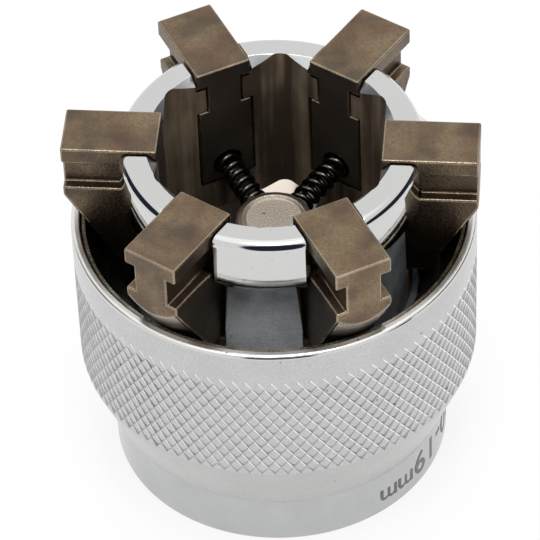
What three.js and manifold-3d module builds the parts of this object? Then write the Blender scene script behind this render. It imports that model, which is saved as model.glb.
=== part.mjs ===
// Adjustable six-jaw drive socket: a sleeve climbs a threaded core and its cone presses sprung jaws inwards.
// Millimetres, +Z up. The origin is the centre of the foot, and the first jaw points along +X.

import * as THREE from 'three';
import { mergeVertices } from 'three/addons/utils/BufferGeometryUtils.js';
import Module from 'manifold-3d';

const wasm = await Module();
wasm.setup();

// What the socket takes
const JAW_COUNT = 6;
const OPEN_ACROSS_FLATS = 19.4;
const CLOSED_ACROSS_FLATS = 10.0;
const DRIVE_SQUARE = 9.6;
const DRIVE_DEPTH = 11.0;

// Core
const CORE_HEIGHT = 35.2;
const BASE_RADIUS = 15.2;
const BASE_HEIGHT = 5.0;
const BASE_EDGE = 0.2;
const RING_RADIUS = 13.3;
const RING_HEIGHT = 5.6;
const RING_EDGE = 0.9;
const RING_FOOT_CHAMFER = 0.7;
const NECK_STEP = 1.1;
const THREAD_STEP = 0.1;
const THREAD_ENGAGEMENT = 4.9;
const BORE_CORNER_RADIUS = 1.3;
const BORE_MOUTH_STEP = 1.2;
const BORE_FLOOR_ANGLE = THREE.MathUtils.degToRad(30);
const SLOT_EDGE_CHAMFER = 0.5;
const DRIVE_CHAMFER = 0.6;
const DETENT_RADIUS = 1.8;
const DETENT_DEPTH = 0.7;
const DETENT_HEIGHT = 5.5;
const WEB_THICKNESS = 1.8;

// Jaws
const JAW_WIDTH = 5.22;
const JAW_REACH = 4.8;
const JAW_HEIGHT = 13.1;
const JAW_PROUD = 0.3;
const JAW_FLANGE = 1.6;
const JAW_GROOVE_HEIGHT = 2.9;
const JAW_GROOVE_DEPTH = 0.96;
const NOSE_DROP = 6.5;
const NOSE_ROUND = 6.0;
const CONE_ANGLE = THREE.MathUtils.degToRad(30);

// Springs and the hub that carries them
const SPRING_RISE = 1.7;
const SPRING_DIAMETER = 2.4;
const SPRING_WIRE = 0.55;
const SPRING_COILS = 9;
const JAW_POCKET_DEPTH = 4.2;
const HUB_RADIUS = 3.38;
const HUB_CAP = 1.65;
const HUB_CHAMFER = 0.15;
const HUB_POCKET_DEPTH = 0.5;

// Screw that holds the hub
const SCREW_RADIUS = 2.0;
const SCREW_HEAD_RADIUS = 3.4;
const SCREW_HEAD_HEIGHT = 2.0;
const SCREW_ROOF = 1.45;
const SCREW_KEY = 2.5;
const SCREW_KEY_DEPTH = 1.2;
const WASHER_THICKNESS = 0.8;
const WASHER_RIM = 0.1;
const WASHER_SPLIT = THREE.MathUtils.degToRad(12);

// Sleeve and its taper ring
const SLEEVE_RIM_DROP = 8.7;
const SLEEVE_WALL = 0.8;
const SLEEVE_RIM_EDGE = 0.35;
const SKIRT_HEIGHT = 6.3;
const SKIRT_OVERHANG = 0.25;
const SLEEVE_MOUTH_CHAMFER = 0.5;
const TAPER_LAND = 0.35;
const TAPER_FOOT = 1.4;
const TAPER_RECESS = 0.3;

// Clearances
const SLIDE_CLEARANCE = 0.15;
const SLOT_FLOOR_CLEARANCE = 0.3;
const CONE_CLEARANCE = 0.15;
const THREAD_CLEARANCE = 0.2;
const SEAT_CLEARANCE = 0.1;
const SLEEVE_STOP_CLEARANCE = 0.3;
const SPRING_CLEARANCE = 0.15;
const SPRING_END_GAP = 0.3;
const SCREW_CLEARANCE = 0.15;
const HEAD_CLEARANCE = 0.6;
const HUB_SEAT_MARGIN = 0.5;

// Fineness of round faces
const TURNED_FACES = 72;
const SMALL_FACES = 32;
const HOLE_FACES = 14;
const EDGE_FACES = 3;
const NOSE_FACES = 8;
const COIL_STEPS = 8;
const WIRE_SIDES = 5;

// How far a cutter reaches past the face that it opens
const OVERCUT = 2.0;

// Places that follow from the sizes above
const JAW_TOP = CORE_HEIGHT + JAW_PROUD;
const JAW_FOOT = JAW_TOP - JAW_HEIGHT;
const JAW_INNER = OPEN_ACROSS_FLATS / 2;
const JAW_OUTER = RING_RADIUS + JAW_REACH;
const JAW_LENGTH = JAW_OUTER - JAW_INNER;
const GROOVE_TOP = JAW_TOP - JAW_FLANGE;
const GROOVE_BOTTOM = GROOVE_TOP - JAW_GROOVE_HEIGHT;
const NOSE_TOP = JAW_TOP - NOSE_DROP;
const RING_FOOT = CORE_HEIGHT - RING_HEIGHT;
const NECK_RADIUS = RING_RADIUS - NECK_STEP;
const THREAD_RADIUS = RING_RADIUS + THREAD_STEP;
const THREAD_BORE = THREAD_RADIUS + THREAD_CLEARANCE;
const JAW_TRAVEL = (OPEN_ACROSS_FLATS - CLOSED_ACROSS_FLATS) / 2;
const SLEEVE_LIFT = JAW_TRAVEL / Math.tan(CONE_ANGLE);
const SLEEVE_FOOT = BASE_HEIGHT + SLEEVE_STOP_CLEARANCE;
const SLEEVE_RIM = CORE_HEIGHT - SLEEVE_RIM_DROP;
const THREAD_TOP = SLEEVE_FOOT + SLEEVE_LIFT + THREAD_ENGAGEMENT;
const TAPER_TOP = SLEEVE_RIM - TAPER_RECESS;
const CONE_GAP = CONE_CLEARANCE / Math.cos(CONE_ANGLE);
const CONE_MOUTH = JAW_OUTER - (NOSE_TOP - TAPER_TOP) * Math.tan(CONE_ANGLE) + CONE_GAP;
const THROAT_HEIGHT = TAPER_TOP - (CONE_MOUTH - THREAD_BORE) / Math.tan(CONE_ANGLE);
const TAPER_BOTTOM = THROAT_HEIGHT - TAPER_FOOT;
const TAPER_RADIUS = CONE_MOUTH + TAPER_LAND;
const COUNTERBORE_RADIUS = TAPER_RADIUS + SEAT_CLEARANCE;
const COUNTERBORE_FLOOR = TAPER_BOTTOM - SEAT_CLEARANCE;
const SLEEVE_RADIUS = COUNTERBORE_RADIUS + SLEEVE_WALL;
const WASHER_BOTTOM = DRIVE_DEPTH + SCREW_HEAD_HEIGHT;
const WEB_BOTTOM = WASHER_BOTTOM + WASHER_THICKNESS;
const HUB_SEAT = WEB_BOTTOM + WEB_THICKNESS;
const SPRING_AXIS = JAW_FOOT + SPRING_RISE;
const SPRING_POCKET = SPRING_DIAMETER / 2 + SPRING_CLEARANCE;
const HUB_TOP = SPRING_AXIS + HUB_CAP;
const SCREW_TIP = SPRING_AXIS - SPRING_POCKET - SCREW_ROOF;
const SPRING_START = HUB_RADIUS - HUB_POCKET_DEPTH + SPRING_END_GAP + SPRING_WIRE / 2;
const SPRING_END = JAW_INNER + JAW_POCKET_DEPTH - SPRING_END_GAP - SPRING_WIRE / 2;

const MATERIALS = {
  polishedChrome: { color: 0xd0d3d5, roughness: 0.08, metalness: 1.0 },
  satinChrome: { color: 0xc4c6c6, roughness: 0.35, metalness: 1.0 },
  brownOxide: { color: 0x7e6b55, roughness: 0.5, metalness: 0.8 },
  blackSpringSteel: { color: 0x1c1a18, roughness: 0.3, metalness: 0.9 },
  blastedSteel: { color: 0xbaad9d, roughness: 0.7, metalness: 0.7 },
  hardenedSteel: { color: 0x6f675c, roughness: 0.3, metalness: 0.9 },
  blackOxide: { color: 0x2b2a29, roughness: 0.45, metalness: 0.8 },
};

/** A closed solid for joining and cutting, from a geometry whose faces point out. */
function solid(geometry) {
  const bare = geometry.clone();
  bare.deleteAttribute('normal');
  bare.deleteAttribute('uv');
  const merged = mergeVertices(bare);
  const index = merged.index.array;
  const triangles = [];
  for (let i = 0; i < index.length; i += 3) {
    const [a, b, c] = index.slice(i, i + 3);
    if (a !== b && b !== c && c !== a) triangles.push(a, b, c);
  }
  const vertProperties = new Float32Array(merged.attributes.position.array);
  const triVerts = new Uint32Array(triangles);
  return new wasm.Manifold(new wasm.Mesh({ numProp: 3, vertProperties, triVerts }));
}

/** The geometry of a finished solid. */
function geometryOf(body) {
  const { vertProperties, triVerts } = body.getMesh();
  const geometry = new THREE.BufferGeometry();
  geometry.setAttribute('position', new THREE.BufferAttribute(vertProperties, 3));
  geometry.setIndex(new THREE.BufferAttribute(triVerts, 1));
  geometry.computeVertexNormals();
  return geometry;
}

/** A body turned about Z from [radius, height] pairs that run up the outside. */
function turned(profile, faces = TURNED_FACES) {
  const points = profile.map(([radius, height]) => new THREE.Vector2(radius, height));
  return new THREE.LatheGeometry(points, faces).rotateX(Math.PI / 2);
}

/** A flat outline carried straight up from one height to another. */
function prism(shape, bottom, top) {
  const geometry = new THREE.ExtrudeGeometry(shape, { depth: top - bottom, bevelEnabled: false });
  return geometry.translate(0, 0, bottom);
}

/** A round bar along X, from one distance to another, at a height. */
function barAlongX(radius, from, to, height, faces = HOLE_FACES) {
  const bar = new THREE.CylinderGeometry(radius, radius, to - from, faces);
  return bar.rotateZ(Math.PI / 2).translate((from + to) / 2, 0, height);
}

/** Points of a quarter round between two tangent directions, as [radius, height] pairs. */
function quarterRound(centreRadius, centreHeight, radius, startAngle) {
  const points = [];
  for (let i = 0; i <= EDGE_FACES; i += 1) {
    const angle = startAngle + (i / EDGE_FACES) * (Math.PI / 2);
    points.push([centreRadius + radius * Math.cos(angle), centreHeight + radius * Math.sin(angle)]);
  }
  return points;
}

/** The same solid turned to each jaw's direction, joined into one. */
function aroundJaws(geometry) {
  let all = null;
  for (let i = 0; i < JAW_COUNT; i += 1) {
    const copy = solid(geometry.clone().rotateZ((i / JAW_COUNT) * 2 * Math.PI));
    all = all ? all.add(copy) : copy;
  }
  return all;
}

/** A regular outline with one flat square to each jaw and rounded corners. */
function boreOutline(acrossFlats, cornerRadius) {
  const shape = new THREE.Shape();
  const half = Math.PI / JAW_COUNT;
  const centreDistance = (acrossFlats / 2 - cornerRadius) / Math.cos(half);
  for (let i = 0; i < JAW_COUNT; i += 1) {
    const direction = (2 * i + 1) * half;
    const x = centreDistance * Math.cos(direction);
    const y = centreDistance * Math.sin(direction);
    shape.absarc(x, y, cornerRadius, direction - half, direction + half, false);
  }
  shape.closePath();
  return shape;
}

/** Plan of one radial slot whose mouth opens at 45 degrees just inside the wall's outer radius. */
function slotPlan(halfWidth, wallRadius) {
  const inner = JAW_INNER - OVERCUT;
  const flare = wallRadius - SLOT_EDGE_CHAMFER;
  const far = THREAD_RADIUS + OVERCUT;
  const mouth = halfWidth + far - flare;
  const corners = [[inner, -halfWidth], [flare, -halfWidth], [far, -mouth]];
  const mirrored = corners.map(([x, y]) => [x, -y]).reverse();
  return new THREE.Shape([...corners, ...mirrored].map(([x, y]) => new THREE.Vector2(x, y)));
}

/** The six slots: full width for the jaws' flanges and bodies, narrow where tongues fill their grooves. */
function jawSlots() {
  const wide = JAW_WIDTH / 2 + SLIDE_CLEARANCE;
  const narrow = wide - JAW_GROOVE_DEPTH;
  const tongueBottom = GROOVE_BOTTOM + SLIDE_CLEARANCE;
  const tongueTop = GROOVE_TOP - SLIDE_CLEARANCE;
  const slotFloor = JAW_FOOT - SLOT_FLOOR_CLEARANCE;
  const neckSlot = prism(slotPlan(wide, NECK_RADIUS), slotFloor, RING_FOOT);
  const bodySlot = prism(slotPlan(wide, RING_RADIUS), RING_FOOT, tongueBottom);
  const webSlot = prism(slotPlan(narrow, RING_RADIUS), tongueBottom, tongueTop);
  const flangeSlot = prism(slotPlan(wide, RING_RADIUS), tongueTop, CORE_HEIGHT + OVERCUT);
  return [neckSlot, bodySlot, webSlot, flangeSlot].map(aroundJaws);
}

/** The hexagonal bore, broached down to the cone that the drill left, with a countersunk mouth. */
function nutBore() {
  const seatRadius = HUB_RADIUS + HUB_SEAT_MARGIN;
  const wideRadius = RING_RADIUS + OVERCUT;
  const above = CORE_HEIGHT + OVERCUT;
  const coneTop = HUB_SEAT + (wideRadius - seatRadius) * Math.tan(BORE_FLOOR_ANGLE);
  const profile = [[0, HUB_SEAT], [seatRadius, HUB_SEAT], [wideRadius, coneTop], [wideRadius, above],
    [0, above]];
  const hexagon = prism(boreOutline(OPEN_ACROSS_FLATS, BORE_CORNER_RADIUS), HUB_SEAT - OVERCUT, above);
  const mouthRadius = OPEN_ACROSS_FLATS / 2 + BORE_MOUTH_STEP;
  const mouth = turned([[0, CORE_HEIGHT - mouthRadius], [mouthRadius + OVERCUT, above], [0, above]]);
  return solid(hexagon).intersect(solid(turned(profile))).add(solid(mouth));
}

/** The square recess in the foot, with a chamfered mouth and the dimples that a drive's ball snaps into. */
function driveRecess() {
  const half = DRIVE_SQUARE / 2;
  const recess = new THREE.BoxGeometry(DRIVE_SQUARE, DRIVE_SQUARE, DRIVE_DEPTH + OVERCUT);
  recess.translate(0, 0, (DRIVE_DEPTH - OVERCUT) / 2);
  const mouthHeight = DRIVE_CHAMFER + OVERCUT;
  const smallEnd = half * Math.SQRT2;
  const bigEnd = (half + mouthHeight) * Math.SQRT2;
  const mouth = new THREE.CylinderGeometry(smallEnd, bigEnd, mouthHeight, 4);
  mouth.rotateX(Math.PI / 2).rotateZ(Math.PI / 4).translate(0, 0, (DRIVE_CHAMFER - OVERCUT) / 2);
  let cutter = solid(recess).add(solid(mouth));
  const dimple = new THREE.SphereGeometry(DETENT_RADIUS, HOLE_FACES, HOLE_FACES / 2);
  dimple.translate(half + DETENT_DEPTH - DETENT_RADIUS, 0, DETENT_HEIGHT);
  for (let side = 0; side < 4; side += 1) {
    cutter = cutter.add(solid(dimple.clone().rotateZ((side * Math.PI) / 2)));
  }
  return cutter;
}

/** The counterbore for the screw's head and the hole for its shank. */
function screwHole() {
  const headHole = SCREW_HEAD_RADIUS + HEAD_CLEARANCE;
  const shankHole = SCREW_RADIUS + SCREW_CLEARANCE;
  const bottom = DRIVE_DEPTH - OVERCUT;
  const top = HUB_SEAT + OVERCUT;
  const profile = [[0, bottom], [headHole, bottom], [headHole, WEB_BOTTOM], [shankHole, WEB_BOTTOM],
    [shankHole, top], [0, top]];
  return solid(turned(profile, SMALL_FACES));
}

/** The turned core: foot, thread land, neck and ring, slotted and bored. */
function coreGeometry() {
  const profile = [
    [0, 0],
    ...quarterRound(BASE_RADIUS - BASE_EDGE, BASE_EDGE, BASE_EDGE, -Math.PI / 2),
    [BASE_RADIUS, BASE_HEIGHT],
    [THREAD_RADIUS, BASE_HEIGHT],
    [THREAD_RADIUS, THREAD_TOP - (THREAD_RADIUS - NECK_RADIUS) / 2],
    [NECK_RADIUS, THREAD_TOP],
    [NECK_RADIUS, RING_FOOT],
    [RING_RADIUS - RING_FOOT_CHAMFER / 2, RING_FOOT],
    [RING_RADIUS, RING_FOOT + RING_FOOT_CHAMFER],
    ...quarterRound(RING_RADIUS - RING_EDGE, CORE_HEIGHT - RING_EDGE, RING_EDGE, 0),
    [0, CORE_HEIGHT],
  ];
  let body = solid(turned(profile));
  for (const cutter of [nutBore(), ...jawSlots(), driveRecess(), screwHole()]) body = body.subtract(cutter);
  return geometryOf(body);
}

/** The jaw's I section, drawn across (x) and up (y). */
function jawSection() {
  const half = JAW_WIDTH / 2;
  const web = half - JAW_GROOVE_DEPTH;
  const right = [[half, JAW_FOOT], [half, GROOVE_BOTTOM], [web, GROOVE_BOTTOM], [web, GROOVE_TOP],
    [half, GROOVE_TOP], [half, JAW_TOP]];
  const left = right.map(([x, y]) => [-x, y]).reverse();
  return new THREE.Shape([...right, ...left].map(([x, y]) => new THREE.Vector2(x, y)));
}

/** The space behind the sloping nose, which is rounded crosswise and leans in towards the foot. */
function noseSpace() {
  const half = JAW_WIDTH;
  const depth = JAW_LENGTH * 2;
  const spread = Math.asin(Math.min(1, (JAW_WIDTH / 2 + SLIDE_CLEARANCE) / NOSE_ROUND));
  const points = [];
  for (let i = 0; i <= NOSE_FACES; i += 1) {
    const angle = spread * ((2 * i) / NOSE_FACES - 1);
    points.push(new THREE.Vector2(NOSE_ROUND * (Math.cos(angle) - 1), NOSE_ROUND * Math.sin(angle)));
  }
  const edge = points[NOSE_FACES].x;
  const outline = [new THREE.Vector2(edge, -half), ...points, new THREE.Vector2(edge, half),
    new THREE.Vector2(-depth, half), new THREE.Vector2(-depth, -half)];
  const reach = JAW_HEIGHT * 2;
  const space = prism(new THREE.Shape(outline), -reach, reach);
  return space.rotateY(CONE_ANGLE).translate(JAW_OUTER, 0, NOSE_TOP);
}

/** One jaw, pointing along +X, with the pocket for its spring in the inner end. */
function jawGeometry() {
  const bar = new THREE.ExtrudeGeometry(jawSection(), { depth: JAW_LENGTH, bevelEnabled: false });
  bar.rotateX(Math.PI / 2).rotateZ(Math.PI / 2).translate(JAW_INNER, 0, 0);
  const pocket = barAlongX(SPRING_POCKET, JAW_INNER - OVERCUT, JAW_INNER + JAW_POCKET_DEPTH, SPRING_AXIS);
  return geometryOf(solid(bar).intersect(solid(noseSpace())).subtract(solid(pocket)));
}

/** Middle line of one spring, pointing along +X: equal turns from the hub's pocket to the jaw's. */
function springPath() {
  const radius = (SPRING_DIAMETER - SPRING_WIRE) / 2;
  const steps = SPRING_COILS * COIL_STEPS;
  const points = [];
  for (let i = 0; i <= steps; i += 1) {
    const turn = (i / COIL_STEPS) * 2 * Math.PI;
    const along = SPRING_START + (i / steps) * (SPRING_END - SPRING_START);
    points.push(new THREE.Vector3(along, radius * Math.cos(turn), SPRING_AXIS + radius * Math.sin(turn)));
  }
  return points;
}

/** A closed round wire along a helix about X, with its rings square to the turns. */
function springGeometry() {
  const path = springPath();
  const vertices = [];
  const triangles = [];
  path.forEach((centre, i) => {
    const before = path[Math.max(i - 1, 0)];
    const after = path[Math.min(i + 1, path.length - 1)];
    const forward = after.clone().sub(before).normalize();
    const outward = new THREE.Vector3(0, centre.y, centre.z - SPRING_AXIS).normalize();
    const side = forward.clone().cross(outward).normalize();
    outward.copy(side).cross(forward).normalize();
    for (let k = 0; k < WIRE_SIDES; k += 1) {
      const angle = (k / WIRE_SIDES) * 2 * Math.PI;
      const point = centre.clone().addScaledVector(outward, (SPRING_WIRE / 2) * Math.cos(angle));
      point.addScaledVector(side, (SPRING_WIRE / 2) * Math.sin(angle));
      vertices.push(...point.toArray());
    }
  });
  for (let i = 0; i + 1 < path.length; i += 1) {
    for (let k = 0; k < WIRE_SIDES; k += 1) {
      const a = i * WIRE_SIDES + k;
      const b = i * WIRE_SIDES + ((k + 1) % WIRE_SIDES);
      triangles.push(a, b, a + WIRE_SIDES, b, b + WIRE_SIDES, a + WIRE_SIDES);
    }
  }
  const last = (path.length - 1) * WIRE_SIDES;
  for (let k = 1; k + 1 < WIRE_SIDES; k += 1) {
    triangles.push(0, k + 1, k, last, last + k, last + k + 1);
  }
  const geometry = new THREE.BufferGeometry();
  geometry.setAttribute('position', new THREE.Float32BufferAttribute(vertices, 3));
  geometry.setIndex(triangles);
  geometry.computeVertexNormals();
  return geometry;
}

/** Least gap between neighbouring turns of a spring, measured on the points of its middle line. */
function leastSpringGap() {
  const path = springPath();
  let least = Infinity;
  for (let i = 0; i < path.length; i += 1) {
    for (let j = i + COIL_STEPS / 2; j < path.length; j += 1) {
      least = Math.min(least, path[i].distanceTo(path[j]));
    }
  }
  return least - SPRING_WIRE;
}

/** The post in the middle of the bore, with a blind hole for each spring and a tapped hole for the screw. */
function hubGeometry() {
  const profile = [[0, HUB_SEAT], [HUB_RADIUS, HUB_SEAT], [HUB_RADIUS, HUB_TOP - HUB_CHAMFER],
    [HUB_RADIUS - HUB_CHAMFER, HUB_TOP], [0, HUB_TOP]];
  const pocket = barAlongX(SPRING_POCKET, HUB_RADIUS - HUB_POCKET_DEPTH, HUB_RADIUS + OVERCUT, SPRING_AXIS);
  const tapped = SCREW_RADIUS + SCREW_CLEARANCE;
  const hole = turned([[0, HUB_SEAT - OVERCUT], [tapped, HUB_SEAT - OVERCUT], [tapped, SCREW_TIP],
    [0, SCREW_TIP + tapped / 2]], SMALL_FACES);
  return geometryOf(solid(turned(profile, SMALL_FACES)).subtract(solid(hole)).subtract(aroundJaws(pocket)));
}

/** The low-headed screw, head down, with its key socket. */
function screwGeometry() {
  const headTop = DRIVE_DEPTH + SCREW_HEAD_HEIGHT;
  const profile = [[0, DRIVE_DEPTH], [SCREW_HEAD_RADIUS, DRIVE_DEPTH], [SCREW_HEAD_RADIUS, headTop],
    [SCREW_RADIUS, headTop], [SCREW_RADIUS, SCREW_TIP - SCREW_CLEARANCE], [0, SCREW_TIP - SCREW_CLEARANCE]];
  const keyRadius = SCREW_KEY / 2 / Math.cos(Math.PI / 6);
  const keyHeight = SCREW_KEY_DEPTH + OVERCUT;
  const key = new THREE.CylinderGeometry(keyRadius, keyRadius, keyHeight, 6);
  key.rotateX(Math.PI / 2).translate(0, 0, DRIVE_DEPTH + SCREW_KEY_DEPTH - keyHeight / 2);
  return geometryOf(solid(turned(profile, SMALL_FACES)).subtract(solid(key)));
}

/** The split spring washer, drawn flat. */
function washerGeometry() {
  const outer = SCREW_HEAD_RADIUS + WASHER_RIM;
  const inner = SCREW_RADIUS + SCREW_CLEARANCE;
  const start = WASHER_SPLIT / 2;
  const end = 2 * Math.PI - WASHER_SPLIT / 2;
  const shape = new THREE.Shape();
  shape.absarc(0, 0, outer, start, end, false);
  shape.absarc(0, 0, inner, end, start, true);
  shape.closePath();
  return prism(shape, WASHER_BOTTOM, WEB_BOTTOM);
}

/** The ring in the sleeve's mouth, whose cone bears on the jaws' noses. */
function taperRingGeometry() {
  const inner = [THREAD_BORE, TAPER_BOTTOM];
  return turned([
    inner,
    [TAPER_RADIUS, TAPER_BOTTOM],
    [TAPER_RADIUS, TAPER_TOP],
    [CONE_MOUTH, TAPER_TOP],
    [THREAD_BORE, THROAT_HEIGHT],
    inner,
  ]);
}

/** The sleeve: thread bore, counterbore for the taper ring, rounded rim and a skirt drawn in downwards. */
function sleeveGeometry() {
  const foot = [THREAD_BORE + SLEEVE_MOUTH_CHAMFER, SLEEVE_FOOT];
  return turned([
    foot,
    [BASE_RADIUS + SKIRT_OVERHANG, SLEEVE_FOOT],
    [SLEEVE_RADIUS, SLEEVE_FOOT + SKIRT_HEIGHT],
    ...quarterRound(SLEEVE_RADIUS - SLEEVE_RIM_EDGE, SLEEVE_RIM - SLEEVE_RIM_EDGE, SLEEVE_RIM_EDGE, 0),
    [COUNTERBORE_RADIUS, SLEEVE_RIM],
    [COUNTERBORE_RADIUS, COUNTERBORE_FLOOR],
    [THREAD_BORE, COUNTERBORE_FLOOR],
    [THREAD_BORE, SLEEVE_FOOT + SLEEVE_MOUTH_CHAMFER],
    foot,
  ]);
}

/** A named piece in its finish. */
function piece(name, geometry, finish) {
  const mesh = new THREE.Mesh(geometry, new THREE.MeshStandardMaterial(MATERIALS[finish]));
  mesh.name = name;
  return mesh;
}

/** A jaw and its spring, turned to their slot. */
function jawStation(number, jaw, spring) {
  const station = new THREE.Group();
  station.rotation.z = ((number - 1) / JAW_COUNT) * 2 * Math.PI;
  station.add(piece(`jaw_${number}`, jaw, 'brownOxide'));
  station.add(piece(`jaw_spring_${number}`, spring, 'blackSpringSteel'));
  return station;
}

const socket = new THREE.Group();
socket.add(piece('core', coreGeometry(), 'polishedChrome'));
socket.add(piece('knurled_sleeve', sleeveGeometry(), 'satinChrome'));
socket.add(piece('taper_ring', taperRingGeometry(), 'hardenedSteel'));
socket.add(piece('spring_hub', hubGeometry(), 'blastedSteel'));
socket.add(piece('hub_screw', screwGeometry(), 'blackOxide'));
socket.add(piece('hub_lock_washer', washerGeometry(), 'blackOxide'));

const jaw = jawGeometry();
const spring = springGeometry();
for (let number = 1; number <= JAW_COUNT; number += 1) socket.add(jawStation(number, jaw, spring));

console.log(`least gap between spring turns: ${leastSpringGap().toFixed(3)} mm`);

export default socket;
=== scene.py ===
"""Dresses the adjustable six-jaw drive socket: its turned and plated body, sprung jaws and knurled sleeve.

Sizes are millimetres. Each piece is modelled in millimetres about the socket's own axis, jaws up, and is brought to
metres as its last step.
"""

import logging
import math
from collections.abc import Callable, Iterator, Sequence
from contextlib import contextmanager
from dataclasses import dataclass, field
from enum import Enum

import bmesh
import bpy
from mathutils import Matrix, Vector


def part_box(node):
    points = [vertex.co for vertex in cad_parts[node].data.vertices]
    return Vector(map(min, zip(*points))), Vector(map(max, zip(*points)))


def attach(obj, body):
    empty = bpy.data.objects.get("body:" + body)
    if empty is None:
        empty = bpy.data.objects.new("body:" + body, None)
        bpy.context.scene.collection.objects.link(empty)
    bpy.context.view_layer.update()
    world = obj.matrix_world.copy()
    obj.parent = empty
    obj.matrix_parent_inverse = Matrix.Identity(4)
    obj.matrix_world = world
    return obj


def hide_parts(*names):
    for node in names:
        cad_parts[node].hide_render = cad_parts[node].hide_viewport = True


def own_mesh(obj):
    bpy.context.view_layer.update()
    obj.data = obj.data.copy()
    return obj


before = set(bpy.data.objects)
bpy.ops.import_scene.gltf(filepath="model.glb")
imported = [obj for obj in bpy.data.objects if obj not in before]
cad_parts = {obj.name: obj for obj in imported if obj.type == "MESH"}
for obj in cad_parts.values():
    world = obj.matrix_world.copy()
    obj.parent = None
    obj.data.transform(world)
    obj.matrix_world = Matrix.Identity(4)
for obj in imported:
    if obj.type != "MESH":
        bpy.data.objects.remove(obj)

LOG = logging.getLogger("socket")
METRE = 0.001
JAW_COUNT = 6
JAW_STEP = 2 * math.pi / JAW_COUNT
HEX_CORNER = 1 / math.cos(math.pi / 6)  # a hexagon's corner for each unit of its half width
MERGE_DISTANCE = 1e-4
SHARP_ANGLE = math.radians(30)
OVERRUN = 1.0  # how far a cutter passes beyond what it cuts
NEAR = 0.01  # lengths that differ by less count as the same
FACING = 0.5  # a face looks along a direction when its normal goes this far that way
SQUARE = 0.95  # the same for a face that looks straight that way
UP = Vector((0, 0, 1))
HASH_STEPS = (12.9898, 78.233, 43758.5453)

Object = bpy.types.Object
Socket = bpy.types.NodeSocket
Material = bpy.types.Material
Point = tuple[float, float]
Colour = tuple[float, float, float]


class Body(Enum):
    """The moving bodies that pieces ride on."""

    CORE = "core_body"
    TAPER_RING = "taper_ring_body"
    SLEEVE = "sleeve_body"

    @staticmethod
    def jaw(number: int) -> str:
        """The body of one jaw, counted from 1."""
        return f"jaw_{number}_body"


class Slot(Enum):
    """The record's finishes."""

    POLISHED = "polished_chrome"
    SATIN = "satin_chrome"
    HARDENED = "hardened_steel"
    BROWN = "brown_oxide"
    SPRING = "black_spring_steel"
    BLASTED = "blasted_steel"
    BLACK = "black_oxide"


class Element(Enum):
    """What a selection in edit mode picks."""

    VERTS = "VERT"
    EDGES = "EDGE"
    FACES = "FACE"


class Cut(Enum):
    """Ways to combine two solids."""

    REMOVE = "DIFFERENCE"
    KEEP = "INTERSECT"
    ADD = "UNION"


@dataclass(frozen=True)
class Extent:
    """The box of a solid of the frame, in millimetres."""

    low: Vector
    high: Vector

    @classmethod
    def of(cls, node: str) -> "Extent":
        """The box of a named node at rest."""
        low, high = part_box(node)
        return cls(low / METRE, high / METRE)

    @property
    def middle(self) -> float:
        """The height of the box's middle."""
        return (self.low.z + self.high.z) / 2


def extent(node: str) -> Extent:
    """A dataclass field that holds a node's box."""
    return field(default_factory=lambda: Extent.of(node))


@dataclass(frozen=True)
class Fit:
    """The sizes that more than one piece keeps to."""

    flange: float = 1.6
    groove_height: float = 2.9
    groove_depth: float = 0.96
    pocket_radius: float = 1.35
    cone_angle: float = 30.0
    sleeve_bore: float = 13.6
    screw_hole: float = 2.15


FIT = Fit()


def deselect() -> None:
    """Leaves nothing selected."""
    bpy.ops.object.select_all(action="DESELECT")


def make_active(obj: Object) -> None:
    """Selects one object alone and makes it the active one."""
    deselect()
    obj.select_set(True)
    bpy.context.view_layer.objects.active = obj


def added(name: str, form: Callable[..., set[str]], **settings: object) -> Object:
    """Adds one of Blender's basic forms under a name, to be shaped."""
    deselect()
    form(**settings)
    bpy.context.object.name = name
    return bpy.context.object


def select(element: Element, action: str = "SELECT") -> None:
    """Selects or deselects all of the mesh in edit mode, as points, edges or faces."""
    bpy.ops.mesh.select_mode(type=element.value)
    bpy.ops.mesh.select_all(action=action)


def select_border() -> None:
    """Selects the open borders of the mesh in edit mode."""
    select(Element.EDGES, "DESELECT")
    bpy.ops.mesh.select_non_manifold(extend=False, use_boundary=True)


@contextmanager
def editing(obj: Object) -> Iterator[None]:
    """Opens an object in edit mode with all of it selected, and goes back to object mode."""
    make_active(obj)
    bpy.ops.object.mode_set(mode="EDIT")
    select(Element.VERTS)
    try:
        yield
    finally:
        bpy.ops.object.mode_set(mode="OBJECT")


def pick(obj: Object, element: Element, test: Callable[..., bool]) -> int:
    """Selects elements of the object in edit mode.

    Args:
        obj: The object that is open in edit mode.
        element: Whether points, edges or faces are picked.
        test: Says of one element whether it is picked.

    Returns:
        How many were picked.
    """
    select(element, "DESELECT")
    mesh = bmesh.from_edit_mesh(obj.data)
    found = [item for item in getattr(mesh, element.name.lower()) if test(item)]
    for item in found:
        item.select_set(True)
    mesh.select_flush_mode()
    bmesh.update_edit_mesh(obj.data)
    return len(found)


def extrude(x: float = 0.0, y: float = 0.0, z: float = 0.0) -> None:
    """Extrudes what is selected in edit mode along a step."""
    bpy.ops.mesh.extrude_region_move(TRANSFORM_OT_translate={"value": (x, y, z)})


def tidy_mesh(obj: Object) -> None:
    """Merges doubles and turns all faces outwards."""
    with editing(obj):
        bpy.ops.mesh.remove_doubles(threshold=MERGE_DISTANCE)
        bpy.ops.mesh.normals_make_consistent(inside=False)


def apply_place(obj: Object) -> None:
    """Moves an object's place, turn and scale into its mesh."""
    make_active(obj)
    bpy.ops.object.transform_apply(location=True, rotation=True, scale=True)


def modify(obj: Object, kind: str, **settings: object) -> None:
    """Applies a modifier with its settings."""
    make_active(obj)
    modifier = obj.modifiers.new(kind, kind)
    for label, value in settings.items():
        setattr(modifier, label, value)
    bpy.ops.object.modifier_apply(modifier=modifier.name)


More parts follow.
